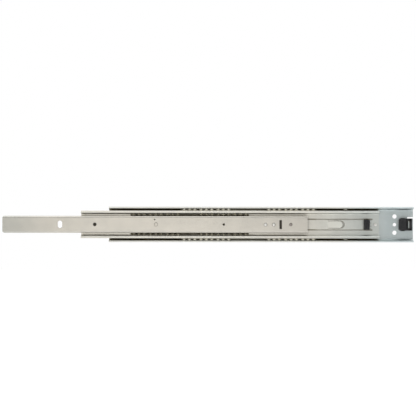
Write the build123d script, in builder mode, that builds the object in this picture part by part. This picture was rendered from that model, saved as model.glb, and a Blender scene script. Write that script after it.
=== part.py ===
"""Cabinet drawer slide: three telescoping steel rails on two ball cages.

Frame, in millimetres: +X runs along the rails towards the back of the cabinet, +Z is up and +Y
points at the cabinet's side wall. The outer rail's mounting face is the plane Y = 0, its front end
is X = 0 and its mid-height is Z = 0. "Depth" is the distance from the wall towards the drawer,
which is -Y. The slide is drawn partly open, with each ball cage between the two rails it serves.
"""

from build123d import *
from math import asin, atan2, cos, degrees, radians, sin, sqrt, tan
import os

# Overall sizes
outer_length = 457.2
mid_length = 447.6
inner_length = 457.2
outer_height = 53.0
slide_depth = 19.1
sheet = 2.0

# Balls, their raceways and their cages
ball_diameter = 5.556
ball_clearance = 0.12
cage_sheet = 0.6
cage_clearance = 0.25
cage_pitch = 25.4
ball_pitch = 8.0
balls_per_segment = 3
ball_segments = 3
outer_plain_segments = 2
inner_plain_segments = 1
cage_hole_clearance = 0.05
cage_lip = 0.5
cage_notch_width = 2.6
cage_notch_depth = 3.2
cage_bend = 1.5

# Angles, steps and bends that set the rail sections
row_crossing_angle = 57.87
inner_edge_drop = 2.15
mid_tip_clearance = 0.6
mid_lip_bend = 1.4
outer_tip_wrap = 32.0
outer_step = 1.2
step_radius = 2.5
outer_bend = 4.0
mid_slope_wrap = 30.0
mid_bend = 2.5
inner_tip_wrap = 30.0
inner_bend = 2.0

# Where each piece stands along the rails in the drawn position
mid_front = -41.9
inner_front = -159.3
outer_cage_front = 108.2
inner_cage_front = 32.3

# Outer rail: screw holes, bumper tab, cage stop and rear notch
screw_hole_diameter = 6.4
screw_hole_spacing = 24.6
pilot_hole_diameter = 5.2
outer_hole_inset_rear = 27.7
outer_hole_inset_front = 37.0
crimp_inset_rear = 102.0
crimp_length = 5.0
crimp_reach = 1.6
rear_notch_length = 8.5
rear_notch_height = 2.2
rear_notch_z = 10.4
bumper_tab_inset = 7.0
bumper_tab_height = 11.0
bumper_tab_rise = 8.0

# Rear bumper, on the outer rail
rear_bumper_inset = 2.2
rear_bumper_length = 19.4
rear_bumper_height = 18.0
rear_bumper_rise = 13.0
rear_bumper_corner = 3.5
bumper_ear = 1.4
bumper_ear_length = 4.5
bumper_groove = 1.2

# Mid rail: leaf between two long slots, half-round tab, bumper, lugs and rivet
mid_slot_spacing = 16.0
mid_slot_width = 1.8
mid_slot_length = 118.0
mid_slot_inset = 9.6
half_round_width = 10.2
half_round_length = 22.6
half_round_inset = 54.0
half_round_rise = 4.0
half_round_side_gap = 0.5
half_round_tip_gap = 2.6
mid_bumper_inset = 14.2
mid_bumper_length = 8.7
mid_bumper_height = 15.4
mid_bumper_rise = 9.6
mid_bumper_corner = 1.0
mid_bumper_chamfer = 0.5
lug_length = 3.4
lug_height = 3.0
lug_rise = 2.0
lug_spacing = 8.8
mid_rivet_inset = 5.4
mid_rivet_diameter = 5.0
mid_rivet_rise = 0.9

# Inner rail: fixing holes, stop bracket and stud
inner_corner = 3.4
inner_nose_cut = 14.0
inner_nose_land = 0.6
drawer_slot_inset = 86.3
drawer_slot_length = 11.1
drawer_slot_width = 6.6
drawer_hole_inset = 138.4
drawer_hole_diameter = 5.4
rear_hole_inset = 331.6
rear_hole_diameter = 3.5
gauge_hole_inset = 228.2
gauge_hole_diameter = 2.2
gauge_hole_z = 7.3
gauge_ring_diameter = 6.0
gauge_ring_width = 0.8
gauge_ring_depth = 0.5
window_inset = 416.9
window_width = 3.8
window_height = 13.3
bracket_sheet = 1.2
bracket_height = 14.0
bracket_front_inset = 388.0
bracket_leg = 5.0
rivet_insets = (394.1, 406.6)
rivet_diameter = 4.6
rivet_shank = 3.0
rivet_head = 0.8
rivet_dimple_gap = 0.4
stud_inset = 432.1
stud_diameter = 4.2
stud_shank = 3.0
stud_head = 0.7

# Sizes that follow from the ones above
groove_radius = ball_diameter / 2 + ball_clearance
groove_line = groove_radius + sheet / 2
outer_ball_height = outer_height / 2 - sheet - groove_radius
outer_cage_depth = sheet + cage_clearance
mid_web_depth = outer_cage_depth + cage_sheet + cage_clearance
mid_web_front = mid_web_depth + sheet
inner_cage_depth = mid_web_front + cage_clearance
inner_tip_depth = inner_cage_depth + cage_sheet + cage_clearance
inner_ball_depth = inner_tip_depth + sheet / 2 + groove_line * sin(radians(inner_tip_wrap))
inner_ball_height = outer_ball_height - 2 * groove_line * sin(radians(row_crossing_angle))
outer_ball_depth = inner_ball_depth + 2 * groove_line * cos(radians(row_crossing_angle))
inner_height = 2 * (inner_ball_height - inner_edge_drop)
mid_tip_height = outer_ball_height - cage_sheet / 2 - mid_tip_clearance
inner_web_depth = slide_depth - sheet
mid_rear = mid_front + mid_length
inner_rear = inner_front + inner_length


def section_plane(x):
    """The plane across the rails at x: its own x is depth from the wall, its own y is height."""
    return Plane(origin=(x, 0, 0), x_dir=(0, -1, 0), z_dir=(-1, 0, 0))


def face_plane(depth):
    """The plane parallel to the wall at a depth: its own x and y are X and Z, seen from the drawer."""
    return Plane(origin=(0, -depth, 0), x_dir=(1, 0, 0), z_dir=(0, -1, 0))


def top_plane(height):
    """The horizontal plane at a height: its own x is X and its own y is Y."""
    return Plane.XY.offset(height)


# Outer rail -------------------------------------------------------------------------------------
# The web lies on the wall. Each flange bends off it, steps out round the wall side of the balls and
# curls round their front.
outer_flange_line = outer_height / 2 - sheet / 2 - outer_step
step_rise = outer_flange_line + step_radius - outer_ball_height
step_run = sqrt((groove_line + step_radius) ** 2 - step_rise**2)
outer_step_angle = degrees(atan2(step_run, step_rise))
outer_step_centre = (outer_ball_depth - step_run, outer_flange_line + step_radius)

with BuildPart() as outer_rail:
    with BuildSketch(section_plane(outer_length)):
        with BuildLine():
            CenterArc(
                (outer_ball_depth, outer_ball_height),
                groove_line,
                90 - outer_tip_wrap,
                outer_tip_wrap + outer_step_angle,
            )
            CenterArc(outer_step_centre, step_radius, 270, outer_step_angle)
            FilletPolyline(
                (outer_step_centre[0], outer_flange_line),
                (sheet / 2, outer_flange_line),
                (sheet / 2, 0),
                radius=outer_bend,
            )
            mirror(about=Plane.XZ)
            offset(amount=sheet / 2, side=Side.BOTH)
        make_face()
    extrude(amount=outer_length)
    # Screw holes above and below a smaller pilot hole, near each end
    outer_hole_places = (outer_hole_inset_front, outer_length - outer_hole_inset_rear)
    with BuildSketch(face_plane(0)):
        for x in outer_hole_places:
            with Locations((x, screw_hole_spacing / 2), (x, -screw_hole_spacing / 2)):
                Circle(screw_hole_diameter / 2)
            with Locations((x, 0)):
                Circle(pilot_hole_diameter / 2)
    extrude(amount=sheet, mode=Mode.SUBTRACT)
    # Notch in the web's rear edge, above the bumper
    with BuildSketch(face_plane(0)):
        with Locations((outer_length - rear_notch_length / 2, rear_notch_z)):
            Rectangle(rear_notch_length, rear_notch_height)
    extrude(amount=sheet, mode=Mode.SUBTRACT)
    # Tab turned up out of the web, which backs the rear bumper
    with BuildSketch(face_plane(sheet / 2)):
        with Locations((outer_length - bumper_tab_inset, 0)):
            Rectangle(sheet, bumper_tab_height)
    extrude(amount=sheet / 2 + bumper_tab_rise)
    # Crimps pressed into both flanges, which keep the cage from creeping to the rear
    crimp_x = outer_length - crimp_inset_rear
    crimp_depth = (outer_step_centre[0] + outer_bend + sheet) / 2
    with Locations(
        (crimp_x, -crimp_depth, outer_flange_line - sheet / 2),
        (crimp_x, -crimp_depth, sheet / 2 - outer_flange_line),
    ):
        Box(crimp_length, crimp_length / 2, 2 * crimp_reach)

# Rear bumper ------------------------------------------------------------------------------------
rear_bumper_front = outer_length - rear_bumper_inset - rear_bumper_length
rear_bumper_back = outer_length - rear_bumper_inset
bumper_groove_x = outer_length - bumper_tab_inset - sheet / 2 - 1.5 * bumper_groove

with BuildPart() as rear_bumper:
    with BuildSketch(face_plane(sheet)) as rear_bumper_outline:
        with Locations(((rear_bumper_front + rear_bumper_back) / 2, 0)):
            Rectangle(rear_bumper_length, rear_bumper_height)
        fillet(rear_bumper_outline.vertices().group_by(Axis.X)[0], radius=rear_bumper_corner)
        ear_x = rear_bumper_front + rear_bumper_corner + bumper_ear_length
        ear_z = (rear_bumper_height - bumper_ear) / 2
        with Locations((ear_x, ear_z), (ear_x, -ear_z)):
            Rectangle(bumper_ear_length, 2 * bumper_ear)
        with Locations((outer_length - bumper_tab_inset, 0)):
            Rectangle(sheet, bumper_tab_height, mode=Mode.SUBTRACT)
    extrude(amount=rear_bumper_rise - sheet)
    # Groove across the front face, which lets the nose give when it is struck
    with BuildSketch(face_plane(rear_bumper_rise)):
        with Locations((bumper_groove_x, 0)):
            Rectangle(bumper_groove, rear_bumper_height + 2 * bumper_ear)
    extrude(amount=-(rear_bumper_rise - sheet) / 3, mode=Mode.SUBTRACT)
    nose_edges = rear_bumper.faces().sort_by(Axis.Y)[0].edges().sort_by(Axis.X)[0:1]
    chamfer(nose_edges, length=bumper_groove)

# Mid rail ---------------------------------------------------------------------------------------
# The web lies over the outer cage. Each flange first curls round the inner balls and then, the other
# way, round the outer balls, and ends in a flat lip in front of them.
mid_lip_foot = outer_ball_height - groove_line
mid_lip_line = outer_ball_depth + groove_line
slope_start = (
    inner_ball_depth - groove_line * sin(radians(mid_slope_wrap)),
    inner_ball_height + groove_line * cos(radians(mid_slope_wrap)),
)
mid_web_line = mid_web_depth + sheet / 2
slope_run = slope_start[0] - mid_web_line
slope_foot = (mid_web_line, slope_start[1] - slope_run * tan(radians(mid_slope_wrap)))
half_round_tip = mid_rear - half_round_inset
half_round_root = half_round_tip - half_round_length
mid_bumper_back = mid_rear - mid_bumper_inset
half_round_tilt = asin(half_round_rise / half_round_length)
half_round_plane = Plane(
    origin=(half_round_root, -mid_web_depth, 0),
    x_dir=(cos(half_round_tilt), -sin(half_round_tilt), 0),
    z_dir=(-sin(half_round_tilt), -cos(half_round_tilt), 0),
)

with BuildPart() as mid_rail:
    with BuildSketch(section_plane(mid_rear)):
        with BuildLine():
            CenterArc(
                (outer_ball_depth, outer_ball_height),
                groove_line,
                180 + row_crossing_angle,
                90 - row_crossing_angle,
            )
            FilletPolyline(
                (outer_ball_depth, mid_lip_foot),
                (mid_lip_line, mid_lip_foot),
                (mid_lip_line, mid_tip_height - sheet / 2),
                radius=mid_lip_bend,
            )
            CenterArc(
                (inner_ball_depth, inner_ball_height),
                groove_line,
                row_crossing_angle,
                90 + mid_slope_wrap - row_crossing_angle,
            )
            FilletPolyline(slope_start, slope_foot, (mid_web_line, 0), radius=mid_bend)
            mirror(about=Plane.XZ)
            offset(amount=sheet / 2, side=Side.BOTH)
        make_face()
    extrude(amount=mid_length)
    # Two long slots leave a springy leaf between them, under the bumper
    mid_slot_x = mid_rear - mid_slot_inset - mid_slot_length / 2
    with BuildSketch(face_plane(mid_web_depth)):
        with Locations((mid_slot_x, mid_slot_spacing / 2), (mid_slot_x, -mid_slot_spacing / 2)):
            SlotOverall(mid_slot_length, mid_slot_width)
    extrude(amount=sheet, mode=Mode.SUBTRACT)
    # Opening that the half-round tab was cut from, wider at the tip than along the sides
    opening_radius = half_round_width / 2 + half_round_side_gap
    opening_end = half_round_tip + half_round_tip_gap - opening_radius
    with BuildSketch(face_plane(mid_web_depth)):
        with Locations(((half_round_root + opening_end) / 2, 0)):
            Rectangle(opening_end - half_round_root, 2 * opening_radius)
        with Locations((opening_end, 0)):
            Circle(opening_radius)
    extrude(amount=sheet, mode=Mode.SUBTRACT)
    # The tab itself, raised towards the drawer from its straight root to its round tip
    with BuildSketch(half_round_plane):
        with Locations(((half_round_length - half_round_width / 2) / 2, 0)):
            Rectangle(half_round_length - half_round_width / 2, half_round_width)
        with Locations((half_round_length - half_round_width / 2, 0)):
            Circle(half_round_width / 2)
    extrude(amount=sheet)
    # Two lugs pressed up out of the web, which back the bumper
    with BuildSketch(face_plane(mid_web_depth + sheet / 2)):
        lug_x = mid_bumper_back + lug_length / 2
        with Locations((lug_x, lug_spacing / 2), (lug_x, -lug_spacing / 2)):
            Rectangle(lug_length, lug_height)
    extrude(amount=sheet / 2 + lug_rise)

# Mid bumper -------------------------------------------------------------------------------------
with BuildPart() as mid_bumper:
    with BuildSketch(face_plane(mid_web_front)):
        with Locations((mid_bumper_back - mid_bumper_length / 2, 0)):
            RectangleRounded(mid_bumper_length, mid_bumper_height, mid_bumper_corner)
    extrude(amount=mid_bumper_rise)
    top_edges = mid_bumper.faces().sort_by(Axis.Y)[0].edges()
    chamfer(top_edges, length=mid_bumper_chamfer)

# Mid rivet: the raised head that the stud rides up to -------------------------------------------
with BuildPart() as mid_rivet:
    with BuildSketch(face_plane(mid_web_front)):
        with Locations((mid_rear - mid_rivet_inset, 0)):
            Circle(mid_rivet_diameter / 2)
    extrude(amount=mid_rivet_rise)
    fillet(mid_rivet.faces().sort_by(Axis.Y)[0].edges(), radius=mid_rivet_rise / 2)

# Inner rail -------------------------------------------------------------------------------------
# The web faces the drawer. Each flange bends back off it and curls round the inside of the balls.
inner_flange_line = inner_height / 2 - sheet / 2
inner_step_rise = inner_ball_height - inner_flange_line + step_radius
inner_step_run = sqrt((groove_line + step_radius) ** 2 - inner_step_rise**2)
inner_step_angle = degrees(atan2(inner_step_run, inner_step_rise))
inner_step_centre = (inner_ball_depth + inner_step_run, inner_flange_line - step_radius)
inner_web_line = inner_web_depth + sheet / 2

with BuildPart() as inner_rail:
    with BuildSketch(section_plane(inner_rear)):
        with BuildLine():
            CenterArc(
                (inner_ball_depth, inner_ball_height),
                groove_line,
                270 - inner_tip_wrap,
                inner_tip_wrap + inner_step_angle,
            )
            CenterArc(inner_step_centre, step_radius, 90, inner_step_angle)
            FilletPolyline(
                (inner_step_centre[0], inner_flange_line),
                (inner_web_line, inner_flange_line),
                (inner_web_line, 0),
                radius=inner_bend,
            )
            mirror(about=Plane.XZ)
            offset(amount=sheet / 2, side=Side.BOTH)
        make_face()
    extrude(amount=inner_length)
    # Round the corners of the front end, as seen from the drawer
    corner_z = inner_height / 2 - inner_corner
    with BuildSketch(face_plane(0)):
        for side in (1, -1):
            with Locations((inner_front, side * inner_height / 2)):
                Rectangle(2 * inner_corner, 2 * inner_corner)
            with Locations((inner_front + inner_corner, side * corner_z)):
                Circle(inner_corner, mode=Mode.SUBTRACT)
    extrude(amount=slide_depth, mode=Mode.SUBTRACT)
    # Slope the flanges' front ends back from the web
    with BuildSketch(top_plane(-inner_height)):
        with BuildLine():
            Polyline(
                (inner_front, inner_nose_land - inner_web_depth),
                (inner_front + inner_nose_cut, 0),
                (inner_front, 0),
                close=True,
            )
        make_face()
    extrude(amount=2 * inner_height, mode=Mode.SUBTRACT)
    # Fixing slot and holes for the drawer's screws, and the gauge hole
    with BuildSketch(face_plane(inner_web_depth)):
        with Locations((inner_front + drawer_slot_inset, 0)):
            SlotOverall(drawer_slot_length, drawer_slot_width, rotation=90)
        with Locations((inner_front + drawer_hole_inset, 0)):
            Circle(drawer_hole_diameter / 2)
        with Locations((inner_front + rear_hole_inset, 0)):
            Circle(rear_hole_diameter / 2)
        with Locations((inner_front + gauge_hole_inset, gauge_hole_z)):
            Circle(gauge_hole_diameter / 2)
        with Locations((inner_front + window_inset, 0)):
            Rectangle(window_width, window_height)
        for inset in rivet_insets:
            with Locations((inner_front + inset, 0)):
                Circle(rivet_shank / 2)
        with Locations((inner_front + stud_inset, 0)):
            Circle(stud_shank / 2)
    extrude(amount=sheet, mode=Mode.SUBTRACT)
    # Dimples that sink the rivets' heads and the stud's below the face the drawer lies on
    with BuildSketch(face_plane(slide_depth)):
        for inset in rivet_insets:
            with Locations((inner_front + inset, 0)):
                Circle(rivet_diameter / 2 + rivet_dimple_gap)
        with Locations((inner_front + stud_inset, 0)):
            Circle(stud_diameter / 2 + rivet_dimple_gap)
    extrude(amount=-rivet_head, mode=Mode.SUBTRACT)
    # Shallow coined ring
    with BuildSketch(face_plane(slide_depth)):
        with Locations((inner_front + gauge_hole_inset + sheet, 0)):
            Circle(gauge_ring_diameter / 2)
            Circle(gauge_ring_diameter / 2 - gauge_ring_width, mode=Mode.SUBTRACT)
    extrude(amount=-gauge_ring_depth, mode=Mode.SUBTRACT)

# Stop bracket, riveted behind the inner web -----------------------------------------------------
bracket_rear = inner_front + window_inset - window_width / 2
bracket_depth = inner_web_depth - bracket_sheet
bracket_front = inner_front + bracket_front_inset

with BuildPart() as stop_bracket:
    with BuildSketch(face_plane(bracket_depth)):
        with Locations(((bracket_front + bracket_rear) / 2, 0)):
            RectangleRounded(bracket_rear - bracket_front, bracket_height, bracket_sheet)
        for inset in rivet_insets:
            with Locations((inner_front + inset, 0)):
                Circle(rivet_shank / 2, mode=Mode.SUBTRACT)
    extrude(amount=bracket_sheet)
    # The leg that meets the mid bumper when the slide closes
    with BuildSketch(face_plane(bracket_depth + bracket_sheet / 2)):
        with Locations((bracket_rear - bracket_sheet / 2, 0)):
            Rectangle(bracket_sheet, bracket_height - 2 * bracket_sheet)
    extrude(amount=-(bracket_leg + bracket_sheet / 2))

# Two rivets that hold the bracket, and the stud behind them -------------------------------------
with BuildPart() as bracket_rivets:
    for inset in rivet_insets:
        with BuildSketch(face_plane(bracket_depth)):
            with Locations((inner_front + inset, 0)):
                Circle(rivet_shank / 2)
        extrude(amount=bracket_sheet + sheet - rivet_head)
        for depth, rise in ((slide_depth - rivet_head, rivet_head), (bracket_depth, -rivet_head)):
            with BuildSketch(face_plane(depth)):
                with Locations((inner_front + inset, 0)):
                    Circle(rivet_diameter / 2)
            extrude(amount=rise)
    head_faces = bracket_rivets.faces().filter_by(Axis.Y).group_by(Axis.Y)
    fillet((head_faces[0] + head_faces[-1]).edges(), radius=rivet_head / 2)

with BuildPart() as rear_stud:
    with BuildSketch(face_plane(inner_web_depth)):
        with Locations((inner_front + stud_inset, 0)):
            Circle(stud_shank / 2)
    extrude(amount=sheet - rivet_head)
    for depth, rise in ((slide_depth - rivet_head, stud_head), (inner_web_depth, -stud_head)):
        with BuildSketch(face_plane(depth)):
            with Locations((inner_front + stud_inset, 0)):
                Circle(stud_diameter / 2)
        extrude(amount=rise)
    stud_faces = rear_stud.faces().filter_by(Axis.Y).group_by(Axis.Y)
    fillet((stud_faces[0] + stud_faces[-1]).edges(), radius=stud_head / 2)


# Ball cages -------------------------------------------------------------------------------------
def segment_starts(cage_front, plain_segments):
    """The front end of each ball-bearing segment, in two runs with the plain segments between."""
    second_run = ball_segments + plain_segments
    indices = list(range(ball_segments)) + list(range(second_run, second_run + ball_segments))
    return [cage_front + index * cage_pitch for index in indices]


def ball_places(cage_front, plain_segments):
    """X of every ball in one row, evenly spaced about the middle of its segment."""
    offsets = [(n - (balls_per_segment - 1) / 2) * ball_pitch for n in range(balls_per_segment)]
    starts = segment_starts(cage_front, plain_segments)
    return [start + cage_pitch / 2 + offset_x for start in starts for offset_x in offsets]


def make_cage(front, plain_segments, web_depth, ball_depth, ball_height):
    """A thin U-shaped strip whose flanges hold both rows of balls in round holes."""
    segments = 2 * ball_segments + plain_segments
    length = segments * cage_pitch
    front_edge = ball_depth + groove_radius + cage_lip
    flange_line = ball_height
    with BuildPart() as cage:
        with BuildSketch(section_plane(front + length)):
            with BuildLine():
                FilletPolyline(
                    (front_edge - cage_sheet / 2, flange_line),
                    (web_depth + cage_sheet / 2, flange_line),
                    (web_depth + cage_sheet / 2, 0),
                    radius=cage_bend,
                )
                mirror(about=Plane.XZ)
                offset(amount=cage_sheet / 2, side=Side.BOTH)
            make_face()
        extrude(amount=length)
        with BuildSketch(top_plane(-ball_height - cage_sheet)):
            for x in ball_places(front, plain_segments):
                with Locations((x, -ball_depth)):
                    Circle(ball_diameter / 2 + cage_hole_clearance)
            for boundary in range(1, segments):
                with Locations((front + boundary * cage_pitch, -front_edge)):
                    Rectangle(cage_notch_width, 2 * cage_notch_depth)
        extrude(amount=2 * (ball_height + cage_sheet), mode=Mode.SUBTRACT)
    return cage.part


def make_balls(places, ball_depth, height):
    """One run of balls, as separate solids in one piece."""
    with BuildPart() as balls:
        with Locations([(x, -ball_depth, height) for x in places]):
            Sphere(ball_diameter / 2)
    return balls.part


outer_cage = make_cage(
    outer_cage_front, outer_plain_segments, outer_cage_depth, outer_ball_depth, outer_ball_height
)
inner_cage = make_cage(
    inner_cage_front, inner_plain_segments, inner_cage_depth, inner_ball_depth, inner_ball_height
)

ball_rows = {}
for cage_name, cage_front, plain_segments, depth, height in (
    ("outer", outer_cage_front, outer_plain_segments, outer_ball_depth, outer_ball_height),
    ("inner", inner_cage_front, inner_plain_segments, inner_ball_depth, inner_ball_height),
):
    places = ball_places(cage_front, plain_segments)
    half = len(places) // 2
    for row_name, side in (("top", 1), ("bottom", -1)):
        for run_name, run in (("front", places[:half]), ("rear", places[half:])):
            ball_rows[f"{cage_name}_balls_{row_name}_{run_name}"] = make_balls(run, depth, side * height)

# Files ------------------------------------------------------------------------------------------
os.makedirs("parts", exist_ok=True)

outer_rail.part.label = "outer_rail"
export_step(outer_rail.part, "parts/outer_rail.step")
rear_bumper.part.label = "rear_bumper"
export_step(rear_bumper.part, "parts/rear_bumper.step")
outer_cage.label = "outer_cage"
export_step(outer_cage, "parts/outer_cage.step")
mid_rail.part.label = "mid_rail"
export_step(mid_rail.part, "parts/mid_rail.step")
mid_bumper.part.label = "mid_bumper"
export_step(mid_bumper.part, "parts/mid_bumper.step")
mid_rivet.part.label = "mid_rivet"
export_step(mid_rivet.part, "parts/mid_rivet.step")
inner_cage.label = "inner_cage"
export_step(inner_cage, "parts/inner_cage.step")
inner_rail.part.label = "inner_rail"
export_step(inner_rail.part, "parts/inner_rail.step")
stop_bracket.part.label = "stop_bracket"
export_step(stop_bracket.part, "parts/stop_bracket.step")
bracket_rivets.part.label = "bracket_rivets"
export_step(bracket_rivets.part, "parts/bracket_rivets.step")
rear_stud.part.label = "rear_stud"
export_step(rear_stud.part, "parts/rear_stud.step")
for name, balls in ball_rows.items():
    balls.label = name
    export_step(balls, f"parts/{name}.step")
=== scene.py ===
"""Looks for a three-section cabinet drawer slide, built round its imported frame.

Lengths are in metres. +X runs along the rails to the back of the cabinet, +Y points at the cabinet's
side wall and +Z is up. The drawer's side, which shows the plain inner rail, is -Y.
"""

import logging
import math
from dataclasses import dataclass, field
from enum import Enum

import bmesh
import bpy
import numpy as np
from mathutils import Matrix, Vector

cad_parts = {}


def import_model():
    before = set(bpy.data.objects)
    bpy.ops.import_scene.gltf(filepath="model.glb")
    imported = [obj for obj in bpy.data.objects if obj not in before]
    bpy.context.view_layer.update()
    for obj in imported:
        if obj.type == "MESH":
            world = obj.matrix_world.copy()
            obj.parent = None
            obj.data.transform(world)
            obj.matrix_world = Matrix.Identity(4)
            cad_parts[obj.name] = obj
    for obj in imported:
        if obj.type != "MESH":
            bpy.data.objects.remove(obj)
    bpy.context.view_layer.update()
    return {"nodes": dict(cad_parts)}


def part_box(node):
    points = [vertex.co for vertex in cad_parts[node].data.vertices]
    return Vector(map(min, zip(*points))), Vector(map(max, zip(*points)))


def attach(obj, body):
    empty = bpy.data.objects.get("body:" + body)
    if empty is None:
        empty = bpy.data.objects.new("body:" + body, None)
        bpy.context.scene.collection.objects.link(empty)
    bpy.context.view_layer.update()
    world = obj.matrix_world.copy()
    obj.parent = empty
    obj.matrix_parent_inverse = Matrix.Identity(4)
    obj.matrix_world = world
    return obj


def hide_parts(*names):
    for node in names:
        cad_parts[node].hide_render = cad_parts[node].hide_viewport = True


LOG = logging.getLogger("drawer_slide")
MM = 0.001
QUARTER_TURN, FULL_TURN = math.pi / 2, 2 * math.pi
CREASE = math.radians(40.0)  # edges sharper than this stay crisp
WHITE = (1.0, 1.0, 1.0)
MIX_FACTOR, MIX_LOW, MIX_HIGH, MIX_RESULT = 0, 6, 7, 2  # a colour Mix node's sockets

Colour = tuple[float, float, float]
Point = tuple[float, float, float]


class Facing(Enum):
    """Which way a turned shape's axis points."""

    DRAWER = "towards the drawer"
    UP = "upwards"


class Coat(Enum):
    """How a steel strip was finished. The value is how metallic the coat is, from 0 to 1."""

    BRIGHT_ZINC = 0.85
    DULL_STRIP = 0.8
    FASTENER = 0.9


# Node helpers -----------------------------------------------------------------------------------
@dataclass
class Wiring:
    """Adds nodes to one node tree and joins them."""

    tree: bpy.types.NodeTree

    def feed(self, target: bpy.types.NodeSocket, value: object) -> None:
        """Link a socket to another, or set it to a number or a colour.

        Args:
            target: the input socket.
            value: an output socket, a number, or a colour of three numbers.
        """
        if isinstance(value, bpy.types.NodeSocket):
            self.tree.links.new(value, target)
        else:
            target.default_value = (*value, 1.0) if isinstance(value, tuple) else value

    def node(self, kind: str, inputs: dict[str | int, object] | None = None,
             **values: object) -> bpy.types.Node:
        """Add a node, set its properties and feed its inputs.

        Args:
            kind: the node's type name.
            inputs: what each input takes, by the input's name or number.
            values: properties of the node by name.

        Returns:
            The new node.
        """
        made = self.tree.nodes.new(kind)
        for name, value in values.items():
            setattr(made, name, value)
        for label, value in (inputs or {}).items():
            self.feed(made.inputs[label], value)
        return made

    def effect(self, tree: bpy.types.NodeTree,
               inputs: dict[str, float] | None = None) -> bpy.types.NodeOutputs:
        """Place a shared group with its own values.

        Args:
            tree: the group.
            inputs: its inputs' values by name.

        Returns:
            The group node's outputs.
        """
        return self.node("ShaderNodeGroup", inputs, node_tree=tree).outputs

    def given(self, label: str) -> bpy.types.NodeSocket:
        """The socket that carries one of a group's own inputs."""
        return self.tree.nodes["in"].outputs[label]

    def give(self, label: str, value: bpy.types.NodeSocket) -> None:
        """Send a socket out of a group under a name."""
        self.feed(self.tree.nodes["out"].inputs[label], value)

    def place(self) -> bpy.types.NodeSocket:
        """The point's place on the object at rest."""
        return self.node("ShaderNodeTexCoord").outputs["Object"]

    def split(self, vector: bpy.types.NodeSocket) -> list[bpy.types.NodeSocket]:
        """Part a vector into its x, y and z."""
        return list(self.node("ShaderNodeSeparateXYZ", {0: vector}).outputs)

    def maths(self, kind: str, first: object, second: object = 0.0,
              clamp: bool = False) -> bpy.types.NodeSocket:
        """Add a Math node.

        Args:
            kind: the operation's name.
            first: a socket or a number.
            second: a socket or a number.
            clamp: keep the result between 0 and 1.

        Returns:
            The node's output socket.
        """
        return self.node("ShaderNodeMath", {0: first, 1: second}, operation=kind, use_clamp=clamp).outputs[0]

    def mixed(self, factor: object, low: object, high: object, blend: str = "MIX") -> bpy.types.NodeSocket:
        """Mix two colours.

        Args:
            factor: a socket that runs from 0 to 1, or a number.
            low: the colour, or colour socket, at 0.
            high: the colour, or colour socket, at 1.
            blend: the way of mixing.

        Returns:
            The mixed colour's socket.
        """
        sockets = {MIX_FACTOR: factor, MIX_LOW: low, MIX_HIGH: high}
        return self.node("ShaderNodeMix", sockets, data_type="RGBA", blend_type=blend).outputs[MIX_RESULT]


def new_group(name: str, inputs: dict[str, float], outputs: tuple[str, ...]) -> Wiring:
    """Make an empty shader group with named number inputs and outputs.

    Args:
        name: the group's name.
        inputs: each input's name and default value.
        outputs: the names of the number outputs.

    Returns:
        The group's wiring, with its input and output nodes already placed.
    """
    tree = bpy.data.node_groups.new(name, "ShaderNodeTree")
    for label, value in inputs.items():
        socket = tree.interface.new_socket(label, in_out="INPUT", socket_type="NodeSocketFloat")
        socket.default_value = value
    for label in outputs:
        tree.interface.new_socket(label, in_out="OUTPUT", socket_type="NodeSocketFloat")
    tree.nodes.new("NodeGroupInput").name = "in"
    tree.nodes.new("NodeGroupOutput").name = "out"
    return Wiring(tree)


def rolled_streaks() -> bpy.types.NodeTree:
    """Fine lines along X, as cold rolling leaves in strip steel.

    The value is noise of (x / stretch, y, z) times the scale, at two sizes: long faint bands and
    short hairlines. It runs from 0 to 1.

    Returns:
        The group "Rolled streaks", with inputs Scale and Stretch and output Streak.
    """
    fine_share, broad_share, broad_scale = 0.6, 0.4, 0.2
    wires = new_group("Rolled streaks", {"Scale": 900.0, "Stretch": 60.0}, ("Streak",))
    x, y, z = wires.split(wires.place())
    squeezed = wires.maths("DIVIDE", x, wires.given("Stretch"))
    place = wires.node("ShaderNodeCombineXYZ", {0: squeezed, 1: y, 2: z}).outputs[0]
    scale = wires.given("Scale")
    fine = wires.node("ShaderNodeTexNoise", {"Detail": 3.0, "Vector": place, "Scale": scale})
    coarser = wires.maths("MULTIPLY", scale, broad_scale)
    broad = wires.node("ShaderNodeTexNoise", {"Vector": place, "Scale": coarser})
    hairlines = wires.maths("MULTIPLY", fine.outputs[0], fine_share)
    bands = wires.maths("MULTIPLY", broad.outputs[0], broad_share)
    wires.give("Streak", wires.maths("ADD", hairlines, bands))
    return wires.tree


def plating_cloud() -> bpy.types.NodeTree:
    """Soft cloudy patches and small speckle, as zinc plating shows.

    Cloud is large noise raised in contrast. Speckle is 1 near the middles of small cells, where the
    distance to the middle is under a threshold, and 0 elsewhere.

    Returns:
        The group "Plating cloud", with input Scale and outputs Cloud and Speckle.
    """
    contrast = {"From Min": 0.35, "From Max": 0.65}
    cell_fineness, speck_size = 22.0, 0.16
    wires = new_group("Plating cloud", {"Scale": 45.0}, ("Cloud", "Speckle"))
    place, scale = wires.place(), wires.given("Scale")
    cloud = wires.node("ShaderNodeTexNoise", {"Detail": 4.0, "Vector": place, "Scale": scale})
    shaped = wires.node("ShaderNodeMapRange", contrast | {"Value": cloud.outputs[0]})
    finer = wires.maths("MULTIPLY", scale, cell_fineness)
    cells = wires.node("ShaderNodeTexVoronoi", {"Vector": place, "Scale": finer})
    wires.give("Cloud", shaped.outputs[0])
    wires.give("Speckle", wires.maths("LESS_THAN", cells.outputs["Distance"], speck_size))
    return wires.tree


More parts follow.
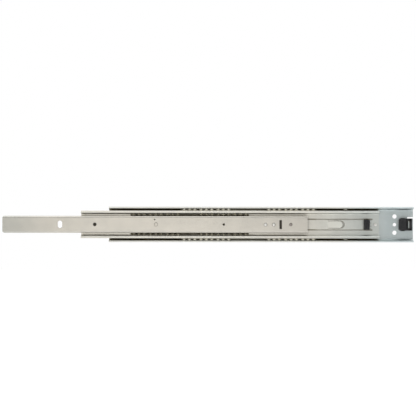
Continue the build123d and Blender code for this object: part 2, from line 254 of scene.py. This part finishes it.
def worn_edges() -> bpy.types.NodeTree:
    """A mask of sharp edges, where handling rubs plating or rubber.

    The mask is how far a normal rounded over the radius turns away from the surface's own normal,
    times a gain, and broken up by noise.

    Returns:
        The group "Worn edges", with inputs Radius, Gain and Grain and output Edge.
    """
    wires = new_group("Worn edges", {"Radius": 0.4 * MM, "Gain": 4.0, "Grain": 1200.0}, ("Edge",))
    rounded = wires.node("ShaderNodeBevel", {"Radius": wires.given("Radius")}, samples=4).outputs[0]
    own = wires.node("ShaderNodeNewGeometry").outputs["Normal"]
    likeness = wires.node("ShaderNodeVectorMath", {0: rounded, 1: own}, operation="DOT_PRODUCT")
    turn = wires.maths("SUBTRACT", 1.0, likeness.outputs["Value"])
    gained = wires.maths("MULTIPLY", turn, wires.given("Gain"), clamp=True)
    grain = wires.node("ShaderNodeTexNoise", {"Vector": wires.place(), "Scale": wires.given("Grain")})
    wires.give("Edge", wires.maths("MULTIPLY", gained, grain.outputs[0], clamp=True))
    return wires.tree


def painted_cavity_shade() -> bpy.types.NodeTree:
    """A mask of painted shade for the deep places between the rails, darker where they close in.

    The mask is 1 where less than Closed of the space in front of the surface is free within
    Reach, 0 where more than Open is, and straight between. It stops over a millimetre where the
    height is more than Band above or below the rails' middle.

    Returns:
        The group "Painted cavity shade", with inputs Reach, Closed, Open and Band and output Painted shade.
    """
    limits = {"Reach": 60.0 * MM, "Closed": 0.12, "Open": 0.32, "Band": 1.0}
    wires = new_group("Painted cavity shade", limits, ("Painted shade",))
    # Painted shade: ambient occlusion finds the enclosed places, and the finishes darken them as if shaded.
    free = wires.node("ShaderNodeAmbientOcclusion", {"Distance": wires.given("Reach")}, samples=12)
    deep = wires.node("ShaderNodeMapRange", {
        "Value": free.outputs["AO"], "From Min": wires.given("Closed"), "From Max": wires.given("Open"),
        "To Min": 1.0, "To Max": 0.0,
    })
    height = wires.maths("ABSOLUTE", wires.split(wires.place())[2])
    inside = wires.maths("SUBTRACT", wires.given("Band"), height)
    band = wires.maths("MULTIPLY", inside, 1.0 / MM, clamp=True)
    wires.give("Painted shade", wires.maths("MULTIPLY", deep.outputs[0], band))
    return wires.tree


@dataclass
class Effects:
    """The shader groups that several finishes share."""

    streaks: bpy.types.NodeTree = field(default_factory=rolled_streaks)
    cloud: bpy.types.NodeTree = field(default_factory=plating_cloud)
    edges: bpy.types.NodeTree = field(default_factory=worn_edges)
    painted_shade: bpy.types.NodeTree = field(default_factory=painted_cavity_shade)


def new_material(name: str) -> tuple[bpy.types.Material, Wiring, bpy.types.Node]:
    """Make a material with an empty Principled shader.

    Args:
        name: the material's name.

    Returns:
        The material, its wiring and its Principled node.
    """
    material = bpy.data.materials.new(name)
    material.use_nodes = True
    shader = material.node_tree.nodes["Principled BSDF"]
    return material, Wiring(material.node_tree), shader


@dataclass(frozen=True)
class SteelFinish:
    """Strip steel under a thin coat, with rolling lines, clouded plating, rubbed edges and painted shade in
    its deep gaps.
    """

    name: str
    coat: Coat
    pale: Colour
    dark: Colour
    worn: Colour
    roughness: float
    # The next six fields set the painted shade that darkens the deep gaps: its dark colour, its strength and
    # where it falls.
    shade_colour: Colour = (0.085, 0.07, 0.042)
    painted_shade: float = 0.9
    closed: float = 0.2
    open: float = 0.4
    reach: float = 60.0 * MM
    band: float = 1.0
    cool: Colour = WHITE
    cool_from: float = 0.34
    cool_span: float = 80.0 * MM
    streak_scale: float = 900.0
    streak_share: float = 0.45
    fleck: float = 0.12
    rub: float = 0.6
    gloss_spread: float = 0.14
    polish: float = 0.06
    bump: float = 0.12
    bump_height: float = 0.05 * MM

    def cooling(self, wires: Wiring) -> bpy.types.NodeSocket:
        """How far the colour is tinted towards the cool colour along X: 0 at cool_from, 1 a cool_span
        beyond.
        """
        beyond = wires.maths("SUBTRACT", wires.split(wires.place())[0], self.cool_from)
        return wires.maths("DIVIDE", beyond, self.cool_span, clamp=True)

    def make(self, effects: Effects) -> bpy.types.Material:
        """Build the material.

        Args:
            effects: the shared shader groups.

        Returns:
            The material.
        """
        material, wires, shader = new_material(self.name)
        streak = wires.effect(effects.streaks, {"Scale": self.streak_scale})["Streak"]
        cloud = wires.effect(effects.cloud)
        edge = wires.effect(effects.edges)["Edge"]
        clouded = wires.maths("MULTIPLY", cloud["Cloud"], 1.0 - self.streak_share)
        streaked = wires.maths("MULTIPLY", streak, self.streak_share)
        coat = wires.mixed(wires.maths("ADD", clouded, streaked), self.dark, self.pale)
        flecked = wires.mixed(wires.maths("MULTIPLY", cloud["Speckle"], self.fleck), coat, self.dark)
        rubbed = wires.mixed(wires.maths("MULTIPLY", edge, self.rub), flecked, self.worn)
        tint = wires.mixed(self.cooling(wires), WHITE, self.cool)
        cooled = wires.mixed(1.0, rubbed, tint, "MULTIPLY")
        # Painted shade: the colour is darkened towards a dark brown where the surroundings close in,
        # standing in for the shade in the deep gaps.
        limits = {"Reach": self.reach, "Closed": self.closed, "Open": self.open, "Band": self.band}
        painted_shade = wires.effect(effects.painted_shade, limits)["Painted shade"]
        shaded = wires.mixed(wires.maths("MULTIPLY", painted_shade, self.painted_shade), cooled, self.shade_colour)
        wires.feed(shader.inputs["Base Color"], shaded)
        dulled = wires.maths("MULTIPLY", streak, self.gloss_spread)
        gloss = wires.maths("ADD", dulled, self.roughness - self.polish)
        wires.feed(shader.inputs["Roughness"], gloss)
        shader.inputs["Metallic"].default_value = self.coat.value
        lines = {"Strength": self.bump, "Distance": self.bump_height, "Height": streak}
        wires.feed(shader.inputs["Normal"], wires.node("ShaderNodeBump", lines).outputs[0])
        return material


@dataclass(frozen=True)
class BallFinish:
    """Polished bearing steel under a film of grease."""

    name: str
    base: Colour
    grease: Colour
    roughness: float
    smear_scale: float = 260.0
    smear: float = 0.7
    smear_dulling: float = 0.2

    def make(self, effects: Effects) -> bpy.types.Material:
        """Build the material.

        Args:
            effects: the shared shader groups.

        Returns:
            The material.
        """
        material, wires, shader = new_material(self.name)
        cloud = wires.effect(effects.cloud, {"Scale": self.smear_scale})["Cloud"]
        smear = wires.maths("MULTIPLY", cloud, self.smear)
        wires.feed(shader.inputs["Base Color"], wires.mixed(smear, self.base, self.grease))
        dulled = wires.maths("MULTIPLY", smear, self.smear_dulling)
        wires.feed(shader.inputs["Roughness"], wires.maths("ADD", dulled, self.roughness))
        shader.inputs["Metallic"].default_value = 1.0
        return material


@dataclass(frozen=True)
class RubberFinish:
    """Black moulded rubber: fine grain, dull sheen and greyed edges."""

    name: str
    base: Colour
    dusty: Colour
    roughness: float
    bloom_scale: float = 160.0
    bloom: float = 0.25
    edge_radius: float = 0.6 * MM
    edge_gain: float = 3.0
    grain_scale: float = 2600.0
    grain_dulling: float = 0.2
    bump: float = 0.25
    bump_height: float = 0.08 * MM

    def make(self, effects: Effects) -> bpy.types.Material:
        """Build the material.

        Args:
            effects: the shared shader groups.

        Returns:
            The material.
        """
        material, wires, shader = new_material(self.name)
        cloud = wires.effect(effects.cloud, {"Scale": self.bloom_scale})["Cloud"]
        edge = wires.effect(effects.edges, {"Radius": self.edge_radius, "Gain": self.edge_gain})["Edge"]
        bloom = wires.maths("ADD", wires.maths("MULTIPLY", cloud, self.bloom), edge, clamp=True)
        wires.feed(shader.inputs["Base Color"], wires.mixed(bloom, self.base, self.dusty))
        noise = {"Scale": self.grain_scale, "Vector": wires.place()}
        grain = wires.node("ShaderNodeTexNoise", noise).outputs[0]
        dulled = wires.maths("MULTIPLY", grain, self.grain_dulling)
        sheen = wires.maths("ADD", dulled, self.roughness - self.grain_dulling / 2)
        wires.feed(shader.inputs["Roughness"], sheen)
        pits = {"Strength": self.bump, "Distance": self.bump_height, "Height": grain}
        wires.feed(shader.inputs["Normal"], wires.node("ShaderNodeBump", pits).outputs[0])
        return material


# Meshes from arrays -----------------------------------------------------------------------------
def grid_faces(rows: int, columns: int, looped: bool = False) -> np.ndarray:
    """Number the corners of the quads on a grid of points whose rows are rings.

    The point in row r and column c has the number r * columns + c. Each quad joins a point to its
    neighbours in the next row and column, and the last column joins the first.

    Args:
        rows: rings in the grid.
        columns: points in each ring.
        looped: join the last ring to the first.

    Returns:
        An array of quads, four numbers each.
    """
    r, c = np.meshgrid(np.arange(rows if looped else rows - 1), np.arange(columns), indexing="ij")
    down, right = (r + 1) % rows, (c + 1) % columns
    corners = [r * columns + c, r * columns + right, down * columns + right, down * columns + c]
    return np.stack(corners, -1).reshape(-1, 4)


@dataclass
class Shape:
    """Points and faces of one closed form, before it becomes an object."""

    points: np.ndarray
    faces: list[list[int]]

    def moved(self, place: Point) -> "Shape":
        """Copy the form to another place."""
        return Shape(self.points + np.array(place), self.faces)


def joined(shapes: list[Shape]) -> Shape:
    """Put several forms into one, each keeping its own points.

    Args:
        shapes: the forms.

    Returns:
        One form that holds them all.
    """
    starts = np.cumsum([0] + [len(shape.points) for shape in shapes[:-1]])
    faces = [[corner + int(start) for corner in face]
             for shape, start in zip(shapes, starts) for face in shape.faces]
    return Shape(np.concatenate([shape.points for shape in shapes]), faces)


def skinned(rings: np.ndarray) -> Shape:
    """Cover a stack of rings with quads and close both ends.

    Args:
        rings: points by ring and place in the ring, shaped (rings, sides, 3).

    Returns:
        The closed form.
    """
    count, sides, _ = rings.shape
    faces = grid_faces(count, sides).tolist()
    faces.append(list(range(sides))[::-1])
    faces.append([(count - 1) * sides + place for place in range(sides)])
    return Shape(rings.reshape(-1, 3), faces)


def turned(profile: np.ndarray, facing: Facing, sides: int) -> Shape:
    """Turn a profile about an axis through the origin.

    A profile point (r, h) becomes a circle of radius r at the height h along the axis.

    Args:
        profile: each ring's radius and height in metres, shaped (rings, 2).
        facing: where the axis points.
        sides: points in each circle.

    Returns:
        The closed form.
    """
    radius, height = profile[:, :1], profile[:, 1:]
    turn = np.linspace(0, FULL_TURN, sides, endpoint=False)[None, :]
    across, along = radius * np.cos(turn), radius * np.sin(turn)
    level = height + 0 * turn
    if facing is Facing.DRAWER:
        return skinned(np.stack([across, -level, along], -1))
    return skinned(np.stack([across, along, level], -1))


def hoop(inner: float, outer: float, half: float, sides: int, rounds: int = 10) -> Shape:
    """A collar about the upright axis, with an oval section.

    At section angle a and turn t the radius is the mid radius plus half the width times cos a, and
    the height is half times sin a.

    Args:
        inner: the hole's radius.
        outer: the outside radius.
        half: half the collar's height.
        sides: points round the hoop.
        rounds: points round its section.

    Returns:
        The closed form.
    """
    a = np.linspace(0, FULL_TURN, rounds, endpoint=False)[None, :]
    t = np.linspace(0, FULL_TURN, sides, endpoint=False)[:, None]
    radius = (inner + outer) / 2 + (outer - inner) / 2 * np.cos(a)
    points = np.stack([radius * np.cos(t), radius * np.sin(t), half * np.sin(a) + 0 * t], -1)
    return Shape(points.reshape(-1, 3), grid_faces(sides, rounds, looped=True).tolist())


def ball(radius: float, rings: int, sides: int, pole: float = 0.04) -> Shape:
    """A ball about the origin, its poles on the upright axis.

    A point at polar angle a and turn t is radius * (sin a cos t, sin a sin t, cos a).

    Args:
        radius: the ball's radius.
        rings: steps from pole to pole.
        sides: points round.
        pole: the polar angle of the small flat that closes each pole.

    Returns:
        The closed form.
    """
    polar = np.linspace(pole, math.pi - pole, rings)
    return turned(radius * np.stack([np.sin(polar), np.cos(polar)], -1), Facing.UP, sides)


def moulded_block(low: Point, high: Point, corner: float, edge: float, steps: int = 7) -> Shape:
    """A block with rounded upright corners and a rounded rim on the drawer's side.

    Each ring is a rounded rectangle in X and Z: a quarter circle at each corner, whose centre is a
    bend's radius in from both sides. Rings near the drawer's side draw in by the edge times
    (1 - cos a) while they rise by the edge times sin a, and the corner's bend shrinks with them.

    Args:
        low: least x, least z and the depth of the back, in metres.
        high: greatest x, greatest z and the depth of the front.
        corner: the radius of the upright corners.
        edge: the radius of the rim.
        steps: points along each quarter circle.

    Returns:
        The closed form.
    """
    least_bend = 0.05 * MM
    signs = np.array([(1, 1), (-1, 1), (-1, -1), (1, -1)])[None, :, None]
    rise = np.linspace(0, QUARTER_TURN, steps)
    inset = np.concatenate([[0.0], edge * (1 - np.cos(rise))])[:, None, None]
    depth = np.concatenate([[low[2]], high[2] - edge + edge * np.sin(rise)])[:, None, None]
    bend = np.maximum(corner - inset, least_bend)
    turn = rise + np.arange(signs.shape[1])[:, None] * QUARTER_TURN
    ends = np.array([low[:2], high[:2]])
    (centre_x, centre_z), (half_x, half_z) = ends.mean(0), (ends[1] - ends[0]) / 2
    x = centre_x + signs[..., 0] * (half_x - inset - bend) + bend * np.cos(turn)
    z = centre_z + signs[..., 1] * (half_z - inset - bend) + bend * np.sin(turn)
    rings = np.stack([x, 0 * x - depth, z], -1)
    return skinned(rings.reshape(steps + 1, 4 * steps, 3))


def mesh_piece(name: str, shape: Shape, material: bpy.types.Material) -> bpy.types.Object:
    """Make an object from a form.

    Args:
        name: the piece's name.
        shape: its points and faces, in metres.
        material: its finish.

    Returns:
        The object, linked to the scene.
    """
    mesh = bpy.data.meshes.new(name)
    mesh.from_pydata(shape.points.tolist(), [], shape.faces)
    mesh.validate()
    shell = bmesh.new()
    shell.from_mesh(mesh)
    bmesh.ops.recalc_face_normals(shell, faces=shell.faces)
    shell.to_mesh(mesh)
    shell.free()
    mesh.shade_smooth()
    mesh.set_sharp_from_angle(angle=CREASE)
    mesh.materials.append(material)
    piece = bpy.data.objects.new(name, mesh)
    bpy.context.scene.collection.objects.link(piece)
    return piece


# The slide --------------------------------------------------------------------------------------
@dataclass
class Workshop:
    """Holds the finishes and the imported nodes, and fits pieces to them."""

    finishes: dict[str, bpy.types.Material]
    nodes: dict[str, bpy.types.Object]

    def dress(self, node: str, finish: str) -> None:
        """Give a carried-over node its finish.

        Args:
            node: the node's name.
            finish: the finish's key.
        """
        piece = self.nodes[node]
        piece.data.materials.clear()
        piece.data.materials.append(self.finishes[finish])
        LOG.info("dressed %s in %s", node, finish)

    def fit(self, name: str, shape: Shape, finish: str, slot: str, body: str, node: str = "") -> None:
        """Make a new piece, let it ride on a body and stand for a node.

        Args:
            name: the piece's name.
            shape: its form.
            finish: the finish's key.
            slot: a material slot's name; not used.
            body: the body it rides on.
            node: the node it stands for, or nothing.
        """
        piece = mesh_piece(name, shape, self.finishes[finish])
        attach(piece, body)
        if node:
            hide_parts(node)
        LOG.info("made %s on %s, %d faces", name, body, len(shape.faces))


@dataclass
class Rails:
    """The three rolled rails and the bracket behind the inner one."""

    shop: Workshop
    finish_of: dict[str, str] = field(default_factory=lambda: {
        "outer_rail": "zinc_outer",
        "mid_rail": "zinc_mid",
        "inner_rail": "zinc_inner",
        "stop_bracket": "rivet_zinc",
    })

    def build(self) -> None:
        """Dress each rail and the bracket."""
        for node, finish in self.finish_of.items():
            self.shop.dress(node, finish)


@dataclass
class BallCage:
    """One strip cage with its four runs of balls and the collars that hold them."""

    shop: Workshop
    name: str
    balls_per_segment: int = 3
    segments: int = 3
    ball_pitch: float = 8.0 * MM
    segment_pitch: float = 25.4 * MM
    collar_gap: float = 0.06 * MM
    collar_wall: float = 0.5 * MM
    collar_half: float = 0.75 * MM
    ball_rings: int = 22
    ball_sides: int = 32

    def offsets(self) -> np.ndarray:
        """Each ball's distance from its run's first ball."""
        segment, place = np.meshgrid(np.arange(self.segments), np.arange(self.balls_per_segment),
                                     indexing="ij")
        return (segment * self.segment_pitch + place * self.ball_pitch).ravel()

    def run_places(self, node: str) -> tuple[list[Point], float]:
        """Find a run's balls, spread so that the first and the last fill the ends of its node's box.

        Args:
            node: the run's node.

        Returns:
            The balls' centres and their radius.
        """
        low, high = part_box(node)
        radius = (high.z - low.z) / 2
        offsets = self.offsets()
        stretch = (high.x - low.x - 2 * radius) / offsets[-1]
        depth, height = (low.y + high.y) / 2, (low.z + high.z) / 2
        return [(low.x + radius + offset * stretch, depth, height) for offset in offsets], radius

    def build(self) -> None:
        """Dress the strip and make its balls and collars."""
        body = f"{self.name}_cage"
        self.shop.dress(body, "cage_strip")
        for row in ("top", "bottom"):
            for end in ("front", "rear"):
                node = f"{self.name}_balls_{row}_{end}"
                places, radius = self.run_places(node)
                single = ball(radius, self.ball_rings, self.ball_sides)
                run = joined([single.moved(place) for place in places])
                self.shop.fit(f"{node}_polished", run, "ball", "ball_steel", body, node)
                inner = radius + self.collar_gap
                collar = hoop(inner, inner + self.collar_wall, self.collar_half, self.ball_sides)
                collars = joined([collar.moved(place) for place in places])
                self.shop.fit(f"{self.name}_collars_{row}_{end}", collars, "cage_strip", "cage_steel", body)


@dataclass
class RearBumper:
    """The moulded bumper that the mid rail closes onto, threaded over the outer rail's tab.

    A nose faces the mid rail. Behind it a thinner waist bridges the slit, and a frame of four bars
    goes round the tab. Two ears stand out above and below, and three ribs cross the nose's face.
    """

    shop: Workshop
    tab_back: float = 6.0 * MM
    tab_front: float = 8.0 * MM
    tab_half: float = 5.5 * MM
    slit: float = 1.2 * MM
    slit_back: float = 9.8 * MM
    waist_share: float = 0.66
    corner: float = 3.4 * MM
    nose_corner: float = 2.72 * MM
    edge: float = 0.9 * MM
    ear_rise: float = 0.7 * MM
    ear_length: float = 5.0 * MM
    rail_end: float = 2.2 * MM
    rib_offset: float = 2.4 * MM
    rib_margin: float = 2.2 * MM
    rib_width: float = 0.9 * MM
    rib_rise: float = 0.5 * MM
    rib_corner: float = 0.4 * MM
    rib_edge: float = 0.3 * MM

    def build(self) -> None:
        """Make the nose, the frame round the tab, the ears and the ribs as one piece."""
        low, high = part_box("rear_bumper")
        back, front = -high.y, -low.y
        top = high.z - self.ear_rise
        end = high.x + self.rail_end
        nose_x, frame_x = (end - self.slit_back + side * self.slit / 2 for side in (-1, 1))
        waist = back + (front - back) * self.waist_share
        tab_low, tab_high = end - self.tab_front, end - self.tab_back
        edge, soft = self.edge, self.edge / 2
        blocks = [
            moulded_block((low.x, -top, back), (nose_x, top, front), self.nose_corner, edge),
            moulded_block((nose_x - edge, -top, back), (frame_x + edge, top, waist), soft, soft),
            moulded_block((frame_x, -top, back), (tab_low, top, front), soft, soft),
            moulded_block((tab_low - edge, self.tab_half, back), (high.x, top, front), soft, soft),
            moulded_block((tab_low - edge, -top, back), (high.x, -self.tab_half, front), soft, soft),
            moulded_block((tab_high, -top, back), (high.x, top, front), soft, soft),
        ]
        ear_x = low.x + self.corner
        for side in (1, -1):
            least, most = sorted((side * (top - edge), side * high.z))
            blocks.append(moulded_block((ear_x, least, back + edge),
                                        (ear_x + self.ear_length, most, front - edge), edge / 3, edge / 3))
        for place in (-self.rib_offset, 0.0, self.rib_offset):
            left = (low.x + nose_x) / 2 + place - self.rib_width / 2
            blocks.append(moulded_block(
                (left, -top + self.rib_margin, front - edge),
                (left + self.rib_width, top - self.rib_margin, front + self.rib_rise),
                self.rib_corner, self.rib_edge))
        self.shop.fit("rear_bumper_moulded", joined(blocks), "rubber", "bumper_rubber", "outer",
                      "rear_bumper")


@dataclass
class MidBumper:
    """The ribbed block on the mid rail that the bracket's leg meets."""

    shop: Workshop
    corner: float = 1.0 * MM
    edge: float = 0.6 * MM
    rib_count: int = 3
    rib_share: float = 0.6
    rib_rise: float = 0.6 * MM
    rib_margin: float = 1.2 * MM
    rib_corner: float = 0.5 * MM
    rib_edge: float = 0.4 * MM

    def build(self) -> None:
        """Make the block with its ribbed face."""
        low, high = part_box("mid_bumper")
        back, front = -high.y, -low.y
        blocks = [moulded_block((low.x, low.z, back), (high.x, high.z, front - self.rib_rise),
                                self.corner, self.edge)]
        step = (high.x - low.x) / self.rib_count
        reach = self.rib_share * step / 2
        for index in range(self.rib_count):
            middle = low.x + (index + 0.5) * step
            blocks.append(moulded_block(
                (middle - reach, low.z + self.rib_margin, front - 2 * self.rib_rise),
                (middle + reach, high.z - self.rib_margin, front), self.rib_corner, self.rib_edge))
        self.shop.fit("mid_bumper_moulded", joined(blocks), "rubber", "bumper_rubber", "mid", "mid_bumper")


@dataclass
class Rivets:
    """Turned rivets and studs, with domed heads."""

    shop: Workshop
    shank: float = 1.5 * MM
    rivet_head: float = 0.8 * MM
    rivet_dome: float = 0.6 * MM
    stud_head: float = 0.7 * MM
    stud_dome: float = 0.5 * MM
    tip: float = 0.02
    rings: int = 9
    sides: int = 40

    def headed(self, radius: float, back: float, front: float, head: float, dome: float) -> Shape:
        """A rivet about the origin, facing the drawer, with a head at each end.

        A head's ring at the share s of the radius lies dome * (1 - sqrt(1 - s squared)) in from the
        head's middle. Between the heads the shank has one radius.

        Args:
            radius: the heads' radius.
            back: depth of the rivet's back.
            front: depth of its front.
            head: how thick each head is.
            dome: how far a head's middle rises above its rim.

        Returns:
            The closed form.
        """
        share = np.sin(np.linspace(self.tip, 1.0, self.rings) * QUARTER_TURN)
        sunk = dome * (1 - np.sqrt(np.maximum(0.0, 1 - share**2)))
        rear = np.stack([radius * share, back + sunk], -1)
        fore = np.stack([radius * share, front - sunk], -1)[::-1]
        neck = np.array([(radius, back + head), (self.shank, back + head),
                         (self.shank, front - head), (radius, front - head)])
        return turned(np.concatenate([rear, neck, fore]), Facing.DRAWER, self.sides)

    def capped(self, radius: float, back: float, rise: float) -> Shape:
        """A half-round head about the origin, facing the drawer.

        At the angle a from its middle a ring's radius is the head's times sin a, and its height
        over the back is the rise times cos a.

        Args:
            radius: the head's radius.
            back: depth of its flat back.
            rise: how far its middle stands over the back.

        Returns:
            The closed form.
        """
        angle = np.linspace(self.tip, 1.0, self.rings) * QUARTER_TURN
        crown = np.stack([radius * np.sin(angle), back + rise * np.cos(angle)], -1)
        return turned(crown, Facing.DRAWER, self.sides)

    def build(self) -> None:
        """Make the bracket's two rivets, the stud and the mid rail's rivet."""
        low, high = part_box("bracket_rivets")
        radius = (high.z - low.z) / 2
        single = self.headed(radius, -high.y, -low.y, self.rivet_head, self.rivet_dome)
        pair = joined([single.moved((x, 0, 0)) for x in (low.x + radius, high.x - radius)])
        self.shop.fit("bracket_rivets_domed", pair, "rivet_zinc", "rivet_steel", "inner", "bracket_rivets")
        low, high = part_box("rear_stud")
        stud = self.headed((high.z - low.z) / 2, -high.y, -low.y, self.stud_head, self.stud_dome)
        stud = stud.moved(((low.x + high.x) / 2, 0, 0))
        self.shop.fit("rear_stud_domed", stud, "stud_zinc", "rivet_steel", "inner", "rear_stud")
        low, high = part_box("mid_rivet")
        cap = self.capped((high.z - low.z) / 2, -high.y, high.y - low.y)
        cap = cap.moved(((low.x + high.x) / 2, 0, 0))
        self.shop.fit("mid_rivet_domed", cap, "rivet_zinc", "rivet_steel", "mid", "mid_rivet")


# The studio -------------------------------------------------------------------------------------
@dataclass(frozen=True)
class Lamp:
    """One soft light panel: its place from the target, its width and height, and its watts."""

    name: str
    place: Point
    size: tuple[float, float]
    power: float
    colour: Colour

    def hang(self, target: Vector) -> None:
        """Hang the panel and aim it.

        Args:
            target: the point that its place is measured from and that it faces.
        """
        data = bpy.data.lights.new(self.name, "AREA")
        data.shape = "RECTANGLE"
        data.size, data.size_y = self.size
        data.energy = self.power
        data.color = self.colour
        light = bpy.data.objects.new(self.name, data)
        light.location = target + Vector(self.place)
        light.rotation_euler = (-Vector(self.place)).to_track_quat("-Z", "Y").to_euler()
        bpy.context.scene.collection.objects.link(light)


@dataclass
class Studio:
    """Camera, lights, white surround and pale floor.

    The camera and the lamps face the point that is the aim away from the centre. The width is what
    the camera takes in there, at the distance.
    """

    centre: Vector
    aim: Point = (0.1487, 0.0, 0.0247)
    distance: float = 3.2
    width: float = 0.6235
    roll: float = -0.0012
    floor_drop: float = 0.33
    floor_half: float = 8.0
    floor_grey: float = 0.9
    floor_roughness: float = 0.9
    floor_seen: float = 0.9
    floor_cast: float = 0.12
    front: float = 0.14
    rise: float = 1.85
    spread: float = 0.1
    sky: Colour = (0.97, 0.985, 1.0)
    lamps: tuple[Lamp, ...] = (
        Lamp("key", (-0.15, -2.0, -0.0243), (0.55, 0.3), 1.8, (1.0, 0.965, 0.91)),
        Lamp("fill", (1.4, -1.7, 0.2), (1.0, 0.6), 1.5, (0.93, 0.97, 1.0)),
    )

    def target(self) -> Vector:
        """The point that the camera and the lamps are aimed at."""
        return self.centre + Vector(self.aim)

    def add_camera(self) -> None:
        """Look straight at the slide along +Y, from the drawer's side."""
        data = bpy.data.cameras.new("camera")
        data.lens = data.sensor_width * self.distance / self.width
        camera = bpy.data.objects.new("camera", data)
        camera.location = self.target() + Vector((0, -self.distance, 0))
        camera.rotation_euler = (QUARTER_TURN, self.roll, 0)
        bpy.context.scene.collection.objects.link(camera)
        bpy.context.scene.camera = camera

    def add_surround(self) -> None:
        """White to the eye; to the metal, softer in front and brighter above, below and beside.

        The radiance that the metal sees in the direction (x, y, z) is front plus rise times z
        squared plus spread times the size of x.
        """
        world = bpy.data.worlds.new("surround")
        bpy.context.scene.world = world
        world.use_nodes = True
        world.node_tree.nodes.clear()
        wires = Wiring(world.node_tree)
        x, _, z = wires.split(wires.node("ShaderNodeTexCoord").outputs["Generated"])
        upright = wires.maths("MULTIPLY", wires.maths("MULTIPLY", z, z), self.rise)
        beside = wires.maths("MULTIPLY", wires.maths("ABSOLUTE", x), self.spread)
        around = wires.maths("ADD", wires.maths("ADD", upright, beside), self.front)
        cast = wires.node("ShaderNodeBackground", {"Color": self.sky, "Strength": around})
        seen = wires.node("ShaderNodeBackground", {"Color": WHITE, "Strength": 1.0})
        to_eye = wires.node("ShaderNodeLightPath").outputs["Is Camera Ray"]
        mix = wires.node("ShaderNodeMixShader", {0: to_eye, 1: cast.outputs[0], 2: seen.outputs[0]})
        wires.node("ShaderNodeOutputWorld", {0: mix.outputs[0]})

    def add_floor(self) -> None:
        """Lay a pale floor well below the slide, bright to the eye and softer to the metal."""
        material, wires, shader = new_material("pale_floor")
        shader.inputs["Base Color"].default_value = (*[self.floor_grey] * 3, 1.0)
        shader.inputs["Roughness"].default_value = self.floor_roughness
        shader.inputs["Emission Color"].default_value = (*WHITE, 1.0)
        to_eye = wires.node("ShaderNodeLightPath").outputs["Is Camera Ray"]
        glow = wires.maths("ADD", wires.maths("MULTIPLY", to_eye, self.floor_seen), self.floor_cast)
        wires.feed(shader.inputs["Emission Strength"], glow)
        level = self.target().z - self.floor_drop
        corners = [(x, y, level) for x, y in ((-1, -1), (1, -1), (1, 1), (-1, 1))]
        corners = np.array(corners) * (self.floor_half, self.floor_half, 1)
        mesh = bpy.data.meshes.new("floor")
        mesh.from_pydata(corners.tolist(), [], [range(4)])
        mesh.materials.append(material)
        floor = bpy.data.objects.new("floor", mesh)
        bpy.context.scene.collection.objects.link(floor)

    def build(self) -> None:
        """Make everything round the slide."""
        self.add_camera()
        self.add_surround()
        self.add_floor()
        for lamp in self.lamps:
            lamp.hang(self.target())
        bpy.context.scene.view_settings.view_transform = "Standard"


def make_finishes(effects: Effects) -> dict[str, bpy.types.Material]:
    """Build every finish the slide uses.

    Args:
        effects: the shared shader groups.

    Returns:
        The materials by key.
    """
    bright, fastener = Coat.BRIGHT_ZINC, Coat.FASTENER
    # Where given, the dark colour after the roughness and the strength, closed, open, reach and band values
    # set each finish's painted shade in its deep gaps.
    steels = (
        SteelFinish("zinc_outer", bright, (0.65, 0.64, 0.59), (0.57, 0.56, 0.51), (0.76, 0.75, 0.70),
                    roughness=0.38, shade_colour=(0.23, 0.18, 0.085), painted_shade=0.95, closed=0.1, open=0.3,
                    cool=(0.86, 0.96, 1.04)),
        SteelFinish("zinc_mid", bright, (0.73, 0.705, 0.63), (0.645, 0.62, 0.56), (0.86, 0.84, 0.77),
                    roughness=0.36, shade_colour=(0.03, 0.025, 0.016), closed=0.2, open=0.45,
                    band=10.0 * MM, cool=(0.84, 0.90, 0.94), cool_from=0.30),
        SteelFinish("zinc_inner", bright, (0.615, 0.58, 0.515), (0.54, 0.515, 0.46), (0.82, 0.79, 0.73),
                    roughness=0.36, closed=0.35, open=0.92, reach=2.0 * MM, cool=(0.87, 0.90, 0.91),
                    cool_from=-0.09, cool_span=-60.0 * MM),
        SteelFinish("cage_strip", Coat.DULL_STRIP, (0.56, 0.52, 0.41), (0.38, 0.35, 0.26),
                    (0.68, 0.65, 0.55), roughness=0.45, closed=0.1, open=0.3),
        SteelFinish("rivet_zinc", fastener, (0.86, 0.84, 0.79), (0.72, 0.70, 0.65), (0.93, 0.92, 0.88),
                    roughness=0.34),
        SteelFinish("stud_zinc", fastener, (0.40, 0.36, 0.33), (0.28, 0.25, 0.23), (0.6, 0.57, 0.53),
                    roughness=0.34),
    )
    made = {finish.name: finish.make(effects) for finish in steels}
    made["ball"] = BallFinish("ball_steel", (0.78, 0.75, 0.66), (0.42, 0.38, 0.28), 0.24).make(effects)
    rubber = RubberFinish("bumper_rubber", (0.008, 0.008, 0.009), (0.028, 0.028, 0.029), 0.6)
    made["rubber"] = rubber.make(effects)
    return made


def main() -> None:
    """Load the frame, dress the slide and set the studio round it."""
    logging.basicConfig(level=logging.INFO)
    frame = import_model()
    low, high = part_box("outer_rail")
    Studio(Vector((low.x, low.y, (low.z + high.z) / 2))).build()
    shop = Workshop(make_finishes(Effects()), frame["nodes"])
    Rails(shop).build()
    for name in ("outer", "inner"):
        BallCage(shop, name).build()
    RearBumper(shop).build()
    MidBumper(shop).build()
    Rivets(shop).build()


if __name__ == "__main__":
    main()
